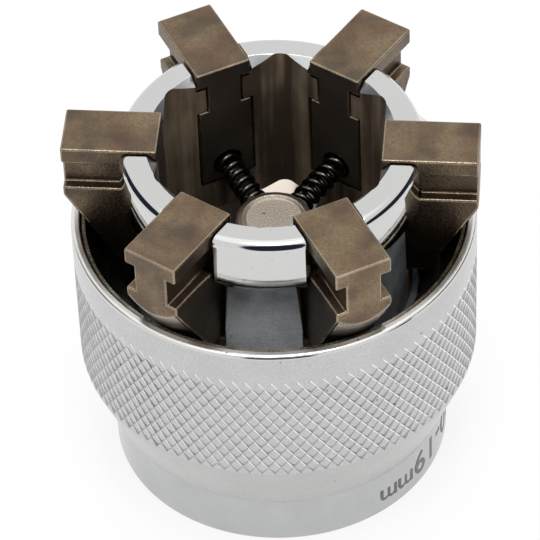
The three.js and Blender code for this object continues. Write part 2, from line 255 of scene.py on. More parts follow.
def smooth(obj: Object, degrees: float) -> None:
    """Shades an object smooth but for the edges that are sharper than an angle."""
    make_active(obj)
    bpy.ops.object.shade_smooth_by_angle(angle=math.radians(degrees))


def arc(centre: Point, radius: float, start: float, end: float, steps: int) -> list[Point]:
    """Points of an arc in a profile.

    Args:
        centre: Radius and height of the arc's centre.
        radius: Radius of the arc.
        start: Direction of the first point, in degrees from outwards towards up.
        end: Direction of the last point.
        steps: Number of equal steps.

    Returns:
        Points from start to end, as radius and height.
    """
    angles = [math.radians(start + (end - start) * i / steps) for i in range(steps + 1)]
    return [(centre[0] + radius * math.cos(a), centre[1] + radius * math.sin(a)) for a in angles]


def drawn(name: str, path: Sequence[Point]) -> Object:
    """A line through points given as radius and height."""
    obj = added(name, bpy.ops.mesh.primitive_plane_add, size=1.0)
    with editing(obj):
        bpy.ops.mesh.merge(type="CENTER")
        bpy.ops.transform.translate(value=(path[0][0], 0.0, path[0][1]))
        for (r0, z0), (r1, z1) in zip(path, path[1:]):
            bpy.ops.mesh.extrude_vertices_move(TRANSFORM_OT_translate={"value": (r1 - r0, 0.0, z1 - z0)})
    return obj


def turned(name: str, profile: Sequence[Point], faces: int, closed: bool = False) -> Object:
    """A body turned about the socket's axis.

    Args:
        name: The new object's name.
        profile: Radius and height of each point.
        faces: Faces around.
        closed: Whether the last point joins the first, as in a ring.

    Returns:
        The new object, at the origin.
    """
    obj = drawn(name, [*profile, profile[0]] if closed else profile)
    with editing(obj):
        bpy.ops.mesh.spin(steps=faces, angle=2 * math.pi, center=(0, 0, 0), axis=UP)
    tidy_mesh(obj)
    return obj


def wind(outline: Object, steps: int, turns: int, lead: float) -> None:
    """Winds a closed outline about the socket's axis and closes both ends.

    Args:
        outline: The outline, which is changed.
        steps: Steps in each turn.
        turns: Number of turns.
        lead: Rise of each turn.
    """
    modify(outline, "SCREW", axis="Z", steps=steps, render_steps=steps, iterations=turns, screw_offset=lead)
    with editing(outline):
        bpy.ops.mesh.remove_doubles(threshold=MERGE_DISTANCE)
        select_border()
        bpy.ops.mesh.fill_holes(sides=0)
    tidy_mesh(outline)


def block(name: str, low: Sequence[float], high: Sequence[float]) -> Object:
    """A block between two corners, as a start for shaping or cutting."""
    centre = [(a + b) / 2 for a, b in zip(low, high)]
    obj = added(name, bpy.ops.mesh.primitive_cube_add, size=1.0, location=centre)
    obj.scale = [b - a for a, b in zip(low, high)]
    apply_place(obj)
    return obj


def bar(name: str, radius: float, start: Sequence[float], end: Sequence[float], sides: int) -> Object:
    """A round or many-sided bar between two points."""
    start, end = Vector(start), Vector(end)
    span = end - start
    obj = added(name, bpy.ops.mesh.primitive_cylinder_add, vertices=sides, radius=radius, depth=span.length)
    obj.matrix_world = Matrix.Translation((start + end) / 2) @ UP.rotation_difference(span).to_matrix().to_4x4()
    apply_place(obj)
    return obj


def combine(obj: Object, other: Object, cut: Cut = Cut.REMOVE) -> None:
    """Cuts, keeps or adds another solid and removes it."""
    modify(obj, "BOOLEAN", operation=cut.value, solver="EXACT", object=other)
    bpy.data.objects.remove(other)


def joined(objects: Sequence[Object]) -> Object:
    """Several objects as one mesh, named as the first."""
    make_active(objects[0])
    for obj in objects:
        obj.select_set(True)
    bpy.ops.object.join()
    return objects[0]


def at_each_jaw(obj: Object, name: str) -> list[Object]:
    """Copies with their own meshes, turned to each jaw and numbered from 1, in place of the object."""
    copies = []
    for number in range(1, JAW_COUNT + 1):
        make_active(obj)
        bpy.ops.object.duplicate(linked=False)
        copy = bpy.context.object
        copy.name = f"{name}_{number}"
        copy.rotation_euler = (0, 0, (number - 1) * JAW_STEP)
        apply_place(copy)
        copies.append(copy)
    bpy.data.objects.remove(obj)
    return copies


def around_jaws(obj: Object) -> Object:
    """The same solid at each jaw, as one mesh."""
    return joined(at_each_jaw(obj, obj.name))


def soften(obj: Object, width: float, material: int = -1) -> None:
    """Rounds the sharp edges a little, as tumbling or plating does.

    Args:
        obj: The object, which is changed.
        width: Width of the rounding.
        material: Index of the rounding's own finish, or -1 for that of the faces beside it.
    """
    modify(obj, "BEVEL", width=width, segments=2, limit_method="ANGLE", angle_limit=SHARP_ANGLE,
           use_clamp_overlap=False, material=material)
    bpy.ops.object.shade_smooth(keep_sharp_edges=False)
    modify(obj, "WEIGHTED_NORMAL")


def paint(obj: Object, index: int, test: Callable[[Vector, Vector], bool]) -> None:
    """Gives a finish to the faces whose centre and normal pass a test."""
    for face in obj.data.polygons:
        if test(face.center, face.normal):
            face.material_index = index


def hand_over(obj: Object, body: str, node: str) -> None:
    """Brings a finished piece to metres and puts it on its body in place of its plain solid."""
    obj.scale = (METRE, METRE, METRE)
    apply_place(obj)
    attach(obj, body)
    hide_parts(node)
    LOG.info("%s: %d faces, rides on %s", obj.name, len(obj.data.polygons), body)


class Nodes:
    """The nodes of a group, a material or the surroundings, with short ways to add and join them."""

    def __init__(self, tree: bpy.types.NodeTree) -> None:
        """Takes the tree that the nodes go to."""
        self.tree = tree

    def add(self, kind: str, inputs: dict[str | int, object] | None = None, **settings: object) -> bpy.types.Node:
        """Adds a node.

        Args:
            kind: The node's type, without ShaderNode before it.
            inputs: For each input, its value or the socket that gives it.
            settings: The node's own settings.

        Returns:
            The new node.
        """
        node = self.tree.nodes.new(f"ShaderNode{kind}")
        for label, value in settings.items():
            setattr(node, label, value)
        for label, value in (inputs or {}).items():
            if isinstance(value, Socket):
                self.tree.links.new(value, node.inputs[label])
            else:
                node.inputs[label].default_value = value
        return node

    def ramp(self, value: Socket, start: float | Socket, end: float | Socket, low: float = 0.0, high: float = 1.0,
             kind: str = "LINEAR") -> Socket:
        """Maps a value from start to end onto low to high, and holds it there beyond them."""
        ends = {"From Min": start, "From Max": end, "To Min": low, "To Max": high}
        return self.add("MapRange", {"Value": value, **ends}, interpolation_type=kind).outputs["Result"]

    def calc(self, operation: str, first: Socket, second: Socket) -> Socket:
        """Two values joined by an operation."""
        return self.add("Math", {0: first, 1: second}, operation=operation).outputs["Value"]

    def mix(self, mask: Socket, first: Colour | Socket, second: Colour) -> Socket:
        """Mixes two colours by a mask."""
        start = first if isinstance(first, Socket) else (*first, 1.0)
        return self.add("Mix", {"Factor": mask, 6: start, 7: (*second, 1.0)}, data_type="RGBA").outputs[2]


class NodeGroup(Nodes):
    """A shared node group under construction."""

    def __init__(self, name: str, inputs: dict[str, float] | None = None) -> None:
        """Starts the group with its inputs and their first values."""
        super().__init__(bpy.data.node_groups.new(name, "ShaderNodeTree"))
        for label, value in (inputs or {}).items():
            self.socket(label, "INPUT").default_value = value
        self.given = self.tree.nodes.new("NodeGroupInput").outputs
        self.place = self.add("TexCoord").outputs["Object"]

    def socket(self, label: str, side: str) -> bpy.types.NodeTreeInterfaceSocket:
        """Adds an input or output to the group."""
        return self.tree.interface.new_socket(name=label, in_out=side, socket_type="NodeSocketFloat")

    def noise(self, scale: float | Socket, detail: float, stretch: Colour = (1, 1, 1)) -> Socket:
        """Noise from 0 to 1 over the piece's own place, with its waves for each metre and its octaves."""
        place = self.add("Mapping", {"Vector": self.place, "Scale": stretch}).outputs["Vector"]
        return self.add("TexNoise", {"Vector": place, "Scale": scale, "Detail": detail}).outputs["Fac"]

    def finished(self, **values: Socket) -> bpy.types.NodeTree:
        """Gives values out under their names and ends the group."""
        for label in values:
            self.socket(label, "OUTPUT")
        end = self.tree.nodes.new("NodeGroupOutput")
        for label, value in values.items():
            self.tree.links.new(value, end.inputs[label])
        return self.tree


class Textures:
    """The surface effects that several finishes share, each a node group built once."""

    def __init__(self) -> None:
        """Builds the groups."""
        self.grain = self._grain()
        self.mottle = self._mottle()
        self.streaks = self._streaks()
        self.grade = self._painted_shade()

    @staticmethod
    def _grain() -> bpy.types.NodeTree:
        """Fine grain with a few pits: a height for bump, a mask for roughness and colour, and the pits alone."""
        group = NodeGroup("metal_grain", {"Grain scale": 6000.0, "Pits": 0.5})
        spots = group.add("TexVoronoi", {"Vector": group.place, "Scale": 900.0}, feature="F1")
        few = group.ramp(group.noise(420.0, 2.0), 0.52, 0.62)
        pits = group.calc("MULTIPLY", group.ramp(spots.outputs["Distance"], 0.16, 0.06), few)
        pits = group.calc("MULTIPLY", pits, group.given["Pits"])
        height = group.calc("SUBTRACT", group.noise(group.given["Grain scale"], 3.0), pits)
        return group.finished(Height=height, Mask=group.noise(300.0, 4.0), Pits=pits)

    @staticmethod
    def _mottle() -> bpy.types.NodeTree:
        """Clouds, blotches and specks of an oxide finish, each as a mask."""
        group = NodeGroup("oxide_mottle", {"Speck scale": 5200.0})
        return group.finished(
            Clouds=group.ramp(group.noise(260.0, 5.0), 0.36, 0.66),
            Blotches=group.ramp(group.noise(300.0, 2.0), 0.48, 0.68),
            Specks=group.ramp(group.noise(group.given["Speck scale"], 2.0), 0.40, 0.72),
        )

    @staticmethod
    def _streaks() -> bpy.types.NodeTree:
        """Long upright streaks that a broach leaves, and the stain over them, each as a mask."""
        group = NodeGroup("broach_streaks")
        return group.finished(
            Streaks=group.ramp(group.noise(700.0, 3.0, (1, 1, 0.07)), 0.42, 0.70),
            Stain=group.ramp(group.noise(240.0, 3.0), 0.35, 0.65),
        )

    @staticmethod
    def _painted_shade() -> bpy.types.NodeTree:
        """Painted shade: a mask from 0 at the lower height in front to 1 at the upper height and away from the front,
        broken up by a little noise.
        """
        group = NodeGroup("painted_shade_by_height", {"Lower": 0.02, "Upper": 0.03})
        place = group.add("SeparateXYZ", {"Vector": group.place}).outputs
        stray = group.ramp(group.noise(260.0, 3.0), -0.4, 0.72)
        # Painted shade: darker towards the upper height and away from the front of the neck.
        rise = group.ramp(place["Z"], group.given["Lower"], group.given["Upper"], kind="SMOOTHSTEP")
        aside = group.ramp(place["Y"], -0.0112, -0.0085)
        rise, aside = (group.calc("MULTIPLY", mask, stray) for mask in (rise, aside))
        return group.finished(Grade=group.calc("MAXIMUM", rise, aside))


class Shader(Nodes):
    """A material under construction: its principled shader and the nodes that feed it."""

    def __init__(self, name: str, **values: object) -> None:
        """Starts a material with a principled shader and its plain values, given with _ for a space."""
        self.material = bpy.data.materials.new(name)
        self.material.use_nodes = True
        super().__init__(self.material.node_tree)
        self.bsdf = self.tree.nodes["Principled BSDF"]
        for label, value in values.items():
            self.bsdf.inputs[label.replace("_", " ")].default_value = value

    def group(self, tree: bpy.types.NodeTree, **values: float) -> bpy.types.NodeOutputs:
        """The outputs of a shared node group with its own values, given with _ for a space."""
        inputs = {label.replace("_", " "): value for label, value in values.items()}
        return self.add("Group", inputs, node_tree=tree).outputs

    def finished(self, tone: Socket, roughness: Socket, height: Socket, depth: float) -> Material:
        """Feeds colour, roughness and bump, with its depth in millimetres, and ends the material."""
        bump = self.add("Bump", {"Height": height, "Distance": depth * METRE}).outputs["Normal"]
        for label, source in (("Base Color", tone), ("Roughness", roughness), ("Normal", bump)):
            self.tree.links.new(source, self.bsdf.inputs[label])
        return self.material


@dataclass(frozen=True)
class Plating:
    """A chrome or bare metal surface: how bright, how glossy and how grainy it is."""

    name: str
    bright: Colour
    dull: Colour
    roughness: float
    spread: float
    grain_depth: float
    grain_scale: float
    pits: float = 0.5
    flecks: float = 0.0
    fleck_tone: float = 0.5
    pit_tone: float = 0.35

    def material(self, textures: Textures) -> Material:
        """Builds the material."""
        shader = Shader(self.name, Metallic=1.0)
        grain = shader.group(textures.grain, Grain_scale=self.grain_scale, Pits=self.pits)
        tone = shader.mix(grain["Mask"], self.dull, self.bright)
        flecks = shader.ramp(grain["Height"], 0.4, 0.7, 0.0, self.flecks)
        for mask, share in ((flecks, self.fleck_tone), (grain["Pits"], self.pit_tone)):
            tone = shader.mix(mask, tone, tuple(c * share for c in self.dull))
        rough = shader.ramp(grain["Mask"], 0, 1, self.roughness - self.spread, self.roughness + self.spread)
        return shader.finished(tone, rough, grain["Height"], self.grain_depth)


@dataclass(frozen=True)
class Oxide:
    """A mottled oxide finish in three tones, with fine specks."""

    name: str
    base: Colour
    warm: Colour
    dark: Colour
    roughness: float
    speck_depth: float
    metallic: float = 1.0
    flecks: float = 0.25
    blotches: float = 0.68
    specular: float = 0.5
    spread: float = 0.07

    def material(self, textures: Textures) -> Material:
        """Builds the material."""
        shader = Shader(self.name, Metallic=self.metallic, Specular_IOR_Level=self.specular)
        mottle = shader.group(textures.mottle)
        tone = shader.mix(mottle["Clouds"], self.warm, self.base)
        for mask, share in ((mottle["Specks"], self.flecks), (mottle["Blotches"], self.blotches)):
            tone = shader.mix(shader.ramp(mask, 0, 1, 0.0, share), tone, self.dark)
        rough = shader.ramp(mottle["Specks"], 0, 1, self.roughness - self.spread, self.roughness + self.spread)
        return shader.finished(tone, rough, mottle["Specks"], self.speck_depth)


@dataclass(frozen=True)
class ShadeGraded:
    """A satin plated wall with painted reflection and shade: its light lower tone darkens towards its upper edge and
    away from the front, with heights in millimetres.
    """

    name: str
    below: Colour
    above: Colour
    lower: float
    upper: float
    metallic: float
    roughness: float
    grain_depth: float
    grain_scale: float = 5200.0
    spread: float = 0.05

    def material(self, textures: Textures) -> Material:
        """Builds the material."""
        shader = Shader(self.name, Metallic=self.metallic)
        grade = shader.group(textures.grade, Lower=self.lower * METRE, Upper=self.upper * METRE)
        grain = shader.group(textures.grain, Grain_scale=self.grain_scale)
        flecks = shader.ramp(grain["Height"], 0.40, 0.75, 0.0, 0.28)
        clouds = shader.ramp(grain["Mask"], 0.48, 0.70, 0.0, 0.22)
        # Painted reflection and shade: the tone below is light, the tone above dark; the grain's flecks, clouds and
        # pits also go towards the tone above.
        tone = self.below
        for mask in (flecks, clouds, grade["Grade"], grain["Pits"]):
            tone = shader.mix(mask, tone, self.above)
        rough = shader.ramp(grain["Mask"], 0, 1, self.roughness - self.spread, self.roughness + self.spread)
        return shader.finished(tone, rough, grain["Height"], self.grain_depth)


@dataclass(frozen=True)
class Broached:
    """A dark oxide wall with upright streaks."""

    name: str
    dark: Colour
    light: Colour
    stain: Colour
    roughness: float
    spread: float = 0.05
    metallic: float = 0.4
    stain_share: float = 0.6
    depth: float = 0.01

    def material(self, textures: Textures) -> Material:
        """Builds the material."""
        shader = Shader(self.name, Metallic=self.metallic)
        streaks = shader.group(textures.streaks)
        tone = shader.mix(streaks["Streaks"], self.dark, self.light)
        tone = shader.mix(shader.ramp(streaks["Stain"], 0, 1, 0.0, self.stain_share), tone, self.stain)
        rough = shader.ramp(streaks["Streaks"], 0, 1, self.roughness + self.spread, self.roughness - self.spread)
        return shader.finished(tone, rough, streaks["Streaks"], self.depth)


class Finishes:
    """Every finish on the socket, built once."""

    polished = Plating("polished_chrome", (0.64, 0.64, 0.635), (0.60, 0.60, 0.595), 0.05, 0.02, 0.0012, 2500.0, 0.25)
    mouth = Plating("mouth_chrome", (0.72, 0.73, 0.73), (0.62, 0.63, 0.63), 0.30, 0.05, 0.004, 4200.0, 0.4)
    # Painted reflection and shade on the neck and its thread: light low down in front, dark above and to the sides.
    neck = ShadeGraded("neck_chrome", (0.90, 0.95, 0.99), (0.040, 0.041, 0.045), 22.6, 28.8, 0.10, 0.30, 0.020)
    satin = Plating("satin_chrome", (0.62, 0.625, 0.62), (0.52, 0.525, 0.52), 0.27, 0.04, 0.010, 7000.0, 0.9, 0.30)
    foot = Plating("foot_chrome", (0.55, 0.56, 0.56), (0.44, 0.445, 0.44), 0.22, 0.05, 0.004, 7000.0, 0.15, 0.08)
    skirt = Plating("skirt_chrome", (0.55, 0.555, 0.545), (0.45, 0.455, 0.445), 0.27, 0.05, 0.008, 7000.0, 0.8, 0.22)
    # Painted shade: a darker copy of the satin chrome for the knurl's lower flanks.
    knurl_flank_shade = Plating("painted_shade_knurl_flank", (0.45, 0.452, 0.45), (0.36, 0.362, 0.36), 0.40, 0.05, 0.010, 7000.0, 1.0)
    # Painted highlight with wear: the knurl's crests, brighter than the satin chrome.
    crest = Plating("worn_and_highlighted_crest", (0.92, 0.925, 0.92), (0.84, 0.845, 0.84), 0.24, 0.04, 0.006, 7000.0, 0.6)
    # The rim's top: worn brown, with a painted highlight brighter than the chrome.
    rim = Plating("worn_highlighted_rim", (0.92, 0.91, 0.89), (0.70, 0.67, 0.62), 0.30, 0.08, 0.012, 5200.0, 1.0)
    land = Oxide("stained_land", (0.62, 0.58, 0.52), (0.26, 0.20, 0.13), (0.06, 0.05, 0.04), 0.30, 0.006)
    floor = Plating("bore_floor", (0.115, 0.104, 0.090), (0.085, 0.077, 0.066), 0.10, 0.03, 0.001, 5000.0)
    # A dark, dull finish for the bore's floor around the hub.
    dull_dark_floor = Oxide("dull_floor", (0.060, 0.050, 0.040), (0.045, 0.036, 0.028), (0.030, 0.025, 0.021), 0.80, 0.003,
                 metallic=0.0, specular=0.1)
    ground = Plating("ground_steel", (0.20, 0.185, 0.165), (0.14, 0.125, 0.11), 0.20, 0.05, 0.003, 5200.0)
    blasted = Plating("blasted_steel", (0.68, 0.605, 0.515), (0.52, 0.45, 0.375), 0.50, 0.06, 0.060, 6400.0, 1.0, 0.5)
    band = Plating("turned_band", (0.37, 0.32, 0.25), (0.26, 0.225, 0.172), 0.45, 0.06, 0.030, 7200.0, 1.0, 0.3)
    nose = Plating("ground_nose", (0.40, 0.37, 0.33), (0.28, 0.25, 0.21), 0.30, 0.05, 0.006, 5200.0)
    brown = Oxide("brown_oxide", (0.254, 0.191, 0.119), (0.168, 0.109, 0.070), (0.085, 0.068, 0.056), 0.40, 0.012,
                  flecks=0.5)
    # Painted shade: a darker copy of the brown oxide for the jaws' sides, grooves and undersides.
    painted_shade_flank = Oxide("painted_shade_flank_oxide", (0.170, 0.127, 0.083), (0.118, 0.082, 0.054), (0.068, 0.055, 0.047), 0.38, 0.012,
                  flecks=0.45)
    grip = Oxide("grip_oxide", (0.070, 0.056, 0.044), (0.055, 0.042, 0.032), (0.038, 0.032, 0.028), 0.36, 0.003,
                 metallic=0.4)
    worn = Oxide("worn_edge", (0.39, 0.325, 0.240), (0.30, 0.235, 0.165), (0.17, 0.135, 0.10), 0.34, 0.010)
    bore = Broached("bore_oxide", (0.112, 0.083, 0.057), (0.520, 0.410, 0.285), (0.064, 0.048, 0.035), 0.36)
    black = Oxide("black_oxide", (0.030, 0.029, 0.028), (0.040, 0.037, 0.034), (0.018, 0.018, 0.018), 0.36, 0.006)
    etched = Oxide("etched_grey", (0.195, 0.188, 0.172), (0.235, 0.226, 0.210), (0.150, 0.144, 0.132), 0.50, 0.004)
    spring = Oxide("spring_black", (0.110, 0.104, 0.098), (0.085, 0.080, 0.075), (0.055, 0.052, 0.050), 0.17, 0.001)

    def __init__(self) -> None:
        """Builds the shared textures and leaves the materials to be asked for."""
        self.textures = Textures()
        self.made: dict[str, Material] = {}

    def dress(self, obj: Object, *finishes: Plating | ShadeGraded | Oxide | Broached) -> None:
        """Gives an object its finishes, in the order of its material slots."""
        obj.data.materials.clear()
        for finish in finishes:
            if finish.name not in self.made:
                self.made[finish.name] = finish.material(self.textures)
            obj.data.materials.append(self.made[finish.name])


@dataclass
class TurnedCore:
    """The turned and plated body: foot with its drive recess, thread, neck and slotted ring."""

    base_height: float = 5.0
    base_edge: float = 0.2
    base_lip: float = 0.12
    ring_radius: float = 13.3
    ring_height: float = 5.6
    ring_edge: float = 0.9
    ring_foot: float = 0.7
    ring_step: float = 0.06
    neck_radius: float = 12.2
    neck_fillet: float = 0.3
    thread_root: float = 12.7
    thread_sink: float = 0.1
    thread_crest: float = 13.45
    thread_start: float = 5.9
    thread_top: float = 18.3
    thread_lead: float = 2.0
    thread_turns: int = 5
    thread_half: float = 0.84
    thread_flat: float = 0.2352
    bore_corner: float = 1.3
    bore_mouth: float = 1.2
    bore_floor_angle: float = 30.0
    seat_margin: float = 0.5
    slide_clearance: float = 0.15
    slot_floor_clearance: float = 0.3
    slot_chamfer: float = 0.5
    slot_reach: float = 3.0
    neck_chamfer: float = 1.1
    neck_lean: float = 0.65
    neck_inside: float = 11.0
    drive_square: float = 9.6
    drive_depth: float = 11.0
    drive_chamfer: float = 0.6
    detent_radius: float = 1.8
    detent_depth: float = 0.7
    detent_height: float = 5.5
    head_hole: float = 4.0
    web_bottom: float = 13.8
    edge: float = 0.05
    glint_angle: float = 18.0
    faces: int = 180
    mark: str = "10-19mm"
    mark_start: float = 2.2
    mark_weight: float = 0.045
    mark_thickness: float = 0.008
    mark_line: float = 3.9
    mark_height: float = 2.7
    mark_capital: float = 0.7
    mark_steps: dict[str, float] = field(
        default_factory=lambda: {"m": 2.15, "9": 2.15, "0": 2.1, "1": 1.85, "-": 1.55})
    mark_narrow: float = 0.94
    small_sign: str = "m"
    small_narrow: float = 0.74
    small_height: float = 0.75
    small_drop: float = 1.15
    box: Extent = extent("core")
    jaw: Extent = extent("jaw_1")
    hub: Extent = extent("spring_hub")

    def __post_init__(self) -> None:
        """Works out the heights and widths that several methods use."""
        self.ring_bottom = self.box.high.z - self.ring_height
        self.slot_half = self.jaw.high.y + self.slide_clearance

    def profile(self) -> list[Point]:
        """The outline from the middle of the foot round to the middle of the top."""
        base, top = self.box.high.x, self.box.high.z
        fillet, outside = self.neck_fillet, self.ring_radius
        return [
            (0.0, 0.0),
            *arc((base - self.base_edge, self.base_edge), self.base_edge, -90, 0, 3),
            (base, self.base_height - self.base_lip),
            (base - self.base_lip, self.base_height),
            (self.thread_root, self.base_height),
            (self.thread_root, self.thread_top - (self.thread_root - self.neck_radius)),
            (self.neck_radius, self.thread_top),
            *arc((self.neck_radius + fillet, self.ring_bottom - fillet), fillet, 180, 90, 3),
            (outside - self.ring_foot / 2, self.ring_bottom),
            (outside - self.ring_step, self.ring_bottom + self.ring_foot - 2 * self.ring_step),
            (outside, self.ring_bottom + self.ring_foot),
            *arc((outside - self.ring_edge, top - self.ring_edge), self.ring_edge, 0, 90, 8),
            (0.0, top),
        ]

    def bore(self) -> Object:
        """The six-sided bore with rounded corners, from its countersunk mouth down to a cone floor."""
        flats, rim, seat = self.jaw.low.x, self.box.high.z, self.hub.low.z
        top, seat_radius = rim + 2 * OVERRUN, self.hub.high.x + self.seat_margin
        hexagon = bar("bore", flats * HEX_CORNER, (0, 0, seat - 2 * OVERRUN), (0, 0, top), 6)
        with editing(hexagon):
            pick(hexagon, Element.EDGES, lambda e: abs(e.verts[0].co.z - e.verts[1].co.z) > OVERRUN)
            bpy.ops.mesh.bevel(offset=self.bore_corner * math.tan(math.pi / 6), segments=8, affect="EDGES")
        outside = self.ring_radius
        rise = (outside - seat_radius) * math.tan(math.radians(self.bore_floor_angle))
        cone = [(0, seat), (seat_radius, seat), (outside, seat + rise), (outside, top), (0, top)]
        combine(hexagon, turned("cone", cone, 96), Cut.KEEP)
        mouth = flats + self.bore_mouth
        funnel = [(0, rim - mouth), (mouth + 2 * OVERRUN, top), (0, top)]
        combine(hexagon, turned("mouth", funnel, self.faces), Cut.ADD)
        return hexagon

    def slot(self, half: float, flare: float, bottom: float, top: float, lean: float = 0.0) -> Object:
        """Six radial slots of one width whose mouths flare at 45 degrees from a radius outwards.

        Args:
            half: Half the slots' width.
            flare: Radius at which the flare starts at the top.
            bottom: Height of the slots' floor.
            top: Height of their upper end.
            lean: How much further out the flare starts at the floor.

        Returns:
            The slots' cutter.
        """
        reach = self.slot_reach
        cutter = block("slot", (self.jaw.low.x - 2 * OVERRUN, -half, bottom), (flare, half, top))
        with editing(cutter):
            pick(cutter, Element.VERTS, lambda v: v.co.x > flare - NEAR and v.co.z < bottom + NEAR)
            bpy.ops.transform.translate(value=(lean, 0, 0))
            pick(cutter, Element.FACES, lambda f: f.normal.x > SQUARE)
            extrude(x=reach)
            bpy.ops.transform.resize(value=(1, (half + reach) / half, 1), center_override=(flare + reach, 0, bottom))
        return around_jaws(cutter)

    def slots(self) -> list[Object]:
        """The slots' cutters from the floor up: neck, ring body, between the tongues, flange."""
        wide, narrow = self.slot_half, self.slot_half - FIT.groove_depth
        groove_top = self.jaw.high.z - FIT.flange
        tongue_top = groove_top - self.slide_clearance
        tongue_bottom = groove_top - FIT.groove_height + self.slide_clearance
        floor = self.jaw.low.z - self.slot_floor_clearance
        flare = self.ring_radius - self.slot_chamfer
        return [
            self.slot(wide, self.neck_radius - self.neck_chamfer, floor, self.ring_bottom, self.neck_lean),
            self.slot(wide, flare, self.ring_bottom, tongue_bottom),
            self.slot(narrow, flare - FIT.groove_depth, tongue_bottom, tongue_top),
            self.slot(wide, flare, tongue_top, self.box.high.z + 2 * OVERRUN),
        ]

    def drive(self) -> list[Object]:
        """The square recess, its chamfered mouth, four dimples and the stepped hole for the screw."""
        half, mouth = self.drive_square / 2, self.drive_chamfer
        recess = block("recess", (-half, -half, mouth), (half, half, self.drive_depth))
        wide = (half + 2 * mouth) / half
        with editing(recess):
            pick(recess, Element.FACES, lambda f: f.normal.z < -SQUARE)
            extrude(z=-2 * mouth)
            bpy.ops.transform.resize(value=(wide, wide, 1), center_override=(0, 0, -mouth))
        spot = Vector((half + self.detent_depth - self.detent_radius, 0, self.detent_height))
        dimples = []
        for side in range(4):
            place = Matrix.Rotation(side * math.pi / 2, 3, "Z") @ spot
            dimples.append(added("dimple", bpy.ops.mesh.primitive_uv_sphere_add, segments=24, ring_count=12,
                                 radius=self.detent_radius, location=place))
            apply_place(dimples[-1])
        low, seat = self.drive_depth - OVERRUN, self.hub.low.z + 2 * OVERRUN
        head, web, shank = self.head_hole, self.web_bottom, FIT.screw_hole
        hole = turned("screw_hole", [(0, low), (head, low), (head, web), (shank, web), (shank, seat), (0, seat)], 48)
        return [recess, joined(dimples), hole]

    def thread(self) -> Object:
        """The ridge of the thread that the sleeve climbs, wound up the core."""
        root, crest, start = self.thread_root - self.thread_sink, self.thread_crest, self.thread_start
        ridge = drawn("thread", [(root, start - self.thread_half), (crest, start - self.thread_flat),
                                 (crest, start + self.thread_flat), (root, start + self.thread_half)])
        with editing(ridge):
            bpy.ops.mesh.edge_face_add()
            bpy.ops.mesh.delete(type="ONLY_FACE")
        wind(ridge, 72, self.thread_turns, self.thread_lead)
        return ridge

    def round_edges(self, core: Object) -> None:
        """Rounds the edges outside the bore and on the top a little; those of the bore's walls stay sharp."""
        outside, top = self.jaw.low.x * HEX_CORNER + 0.2, self.box.high.z - NEAR

        def exposed(edge: bmesh.types.BMEdge) -> bool:
            middle = (edge.verts[0].co + edge.verts[1].co) / 2
            seen = middle.xy.length > outside or middle.z > top
            return seen and edge.is_manifold and edge.calc_face_angle() > SHARP_ANGLE

        with editing(core):
            pick(core, Element.EDGES, exposed)
            bpy.ops.mesh.bevel(offset=self.edge, segments=2, affect="EDGES", clamp_overlap=False)
        smooth(core, 35)
        modify(core, "WEIGHTED_NORMAL", keep_sharp=True)

    def letter(self, sign: str, angle: float) -> Object:
        """One sign of the size mark, upside down on the foot at an angle in degrees."""
        letter = added("sign", bpy.ops.object.text_add)
        settings = {"body": sign, "align_x": "CENTER", "size": self.mark_height / self.mark_capital,
                    "extrude": self.mark_thickness, "offset": self.mark_weight}
        for label, value in settings.items():
            setattr(letter.data, label, value)
        bpy.ops.object.convert(target="MESH")
        letter = bpy.context.object
        line, shape = self.mark_line, (self.mark_narrow, 1.0)
        if sign == self.small_sign:
            line, shape = line - self.small_drop, (self.small_narrow, self.small_height)
        out = Vector((math.cos(math.radians(angle)), math.sin(math.radians(angle)), 0))
        axes = Matrix((out.cross(UP), -UP, out)).transposed().to_4x4()
        place = Matrix.Translation(out * self.box.high.x + UP * line)
        letter.matrix_world = place @ axes @ Matrix.Diagonal((*shape, 1.0, 1.0))
        apply_place(letter)
        return letter

    def size_marks(self) -> Object:
        """The range of nuts that the socket takes, etched on the foot and read with the jaws down."""
        letters, angle = [], self.mark_start
        for sign in self.mark:
            step = math.degrees(self.mark_steps[sign] / self.box.high.x)
            letters.append(self.letter(sign, angle - step / 2))
            angle -= step
        return joined(letters)

    def zone(self, core: Object) -> None:
        """Gives each part of the core its finish, by its index in the core's material slots."""
        flats, seat, jaw_bottom = self.jaw.low.x, self.hub.low.z, self.jaw.low.z

        def at_jaw(place: Vector, direction: Vector) -> Vector:
            """A direction as it is seen from the jaw nearest to a place."""
            station = round(math.atan2(place.y, place.x) / JAW_STEP) * JAW_STEP
            return Matrix.Rotation(-station, 3, "Z") @ direction

        def on_neck(centre: Vector, normal: Vector) -> bool:
            return self.base_height < centre.z < self.ring_bottom - 0.05 and centre.xy.length > self.neck_inside

        def in_bore(centre: Vector, normal: Vector) -> bool:
            inwards = normal.xy.dot(centre.xy) < -0.2 * centre.xy.length and normal.z < 0.3
            return centre.z > seat and inwards and centre.xy.length < flats * HEX_CORNER

        def in_slot(centre: Vector, normal: Vector) -> bool:
            if abs(normal.z) > FACING or centre.z < jaw_bottom - 1:
                return False
            facing = abs(at_jaw(centre, normal).y)
            if facing > SQUARE:
                return abs(at_jaw(centre, centre).y) < self.slot_half + 0.02
            return facing > FACING and centre.z < self.ring_bottom

        def under_slot(centre: Vector, normal: Vector) -> bool:
            below = self.thread_top < centre.z < jaw_bottom - 0.1 and centre.xy.length > self.neck_inside
            return below and abs(at_jaw(centre, centre).y) < self.slot_half + 0.3

        def on_slot_floor(centre: Vector, normal: Vector) -> bool:
            return normal.z > FACING and abs(centre.z - jaw_bottom) < 1 and centre.xy.length > flats

        def on_floor(centre: Vector, normal: Vector) -> bool:
            return normal.z > 0.3 and centre.xy.length < flats * 1.1 and seat - 0.1 < centre.z < jaw_bottom

